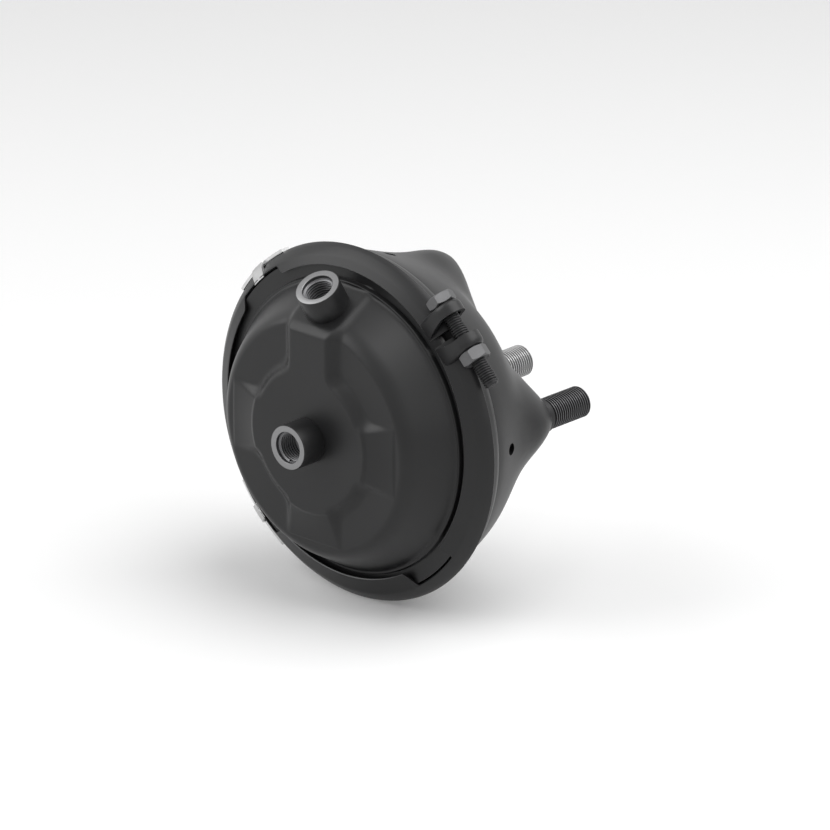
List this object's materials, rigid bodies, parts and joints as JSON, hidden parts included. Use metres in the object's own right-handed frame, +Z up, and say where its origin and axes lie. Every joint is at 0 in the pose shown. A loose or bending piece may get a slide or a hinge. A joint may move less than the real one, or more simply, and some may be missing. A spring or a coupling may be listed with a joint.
{
  "type": "air brake chamber",
  "caption": "Size 24 diaphragm brake chamber: round pressed housing, V clamp ring, two mounting studs, two air ports and a threaded push rod that slides out.",
  "frame": {"origin": "centre of the rear mounting face, on the chamber's axis, between the two mounting studs", "axes": "+Y along the chamber's axis, out of the mounting face towards the push rod's end; -Y towards the air ports; +Z up, towards the oblique port; the studs lie along X"},
  "size_m": [0.1861, 0.17, 0.1824],
  "materials": {
    "black_paint": "satin black paint",
    "black_phosphate": "black coated steel",
    "grey_zinc": "dull grey zinc-flake coating",
    "bright_zinc": "bright zinc plate",
    "bare_steel": "plain pressed steel",
    "rubber": "matte black rubber"
  },
  "bodies": {
    "chamber": {"axial_port_boss": "black_paint", "clamp_bolt": "grey_zinc", "clamp_link_lower": "bright_zinc", "clamp_link_upper": "bright_zinc", "clamp_nut": "grey_zinc", "clamp_segment_left": "black_paint", "clamp_segment_lower": "black_paint", "clamp_segment_upper": "black_paint", "diaphragm": "rubber", "dust_seal": "rubber", "housing": "black_paint", "oblique_port_boss": "black_paint", "pressure_cover": "black_paint", "reinforcement_plate": "bare_steel", "return_spring": "bare_steel", "spring_seat": "bare_steel", "stud_left": "black_phosphate", "stud_right": "black_phosphate"},
    "rod": {"pressure_plate": "bare_steel", "push_rod": "bright_zinc"}
  },
  "joints": [
    {"name": "push_rod_slide", "type": "slide", "parent": "chamber", "child": "rod", "axis": [0, 1, 0], "range_m": [0, 0.057], "stiffness_N_per_m": 1500, "springref_m": -0.04, "deforming": ["return_spring", "diaphragm"]}
  ]
}
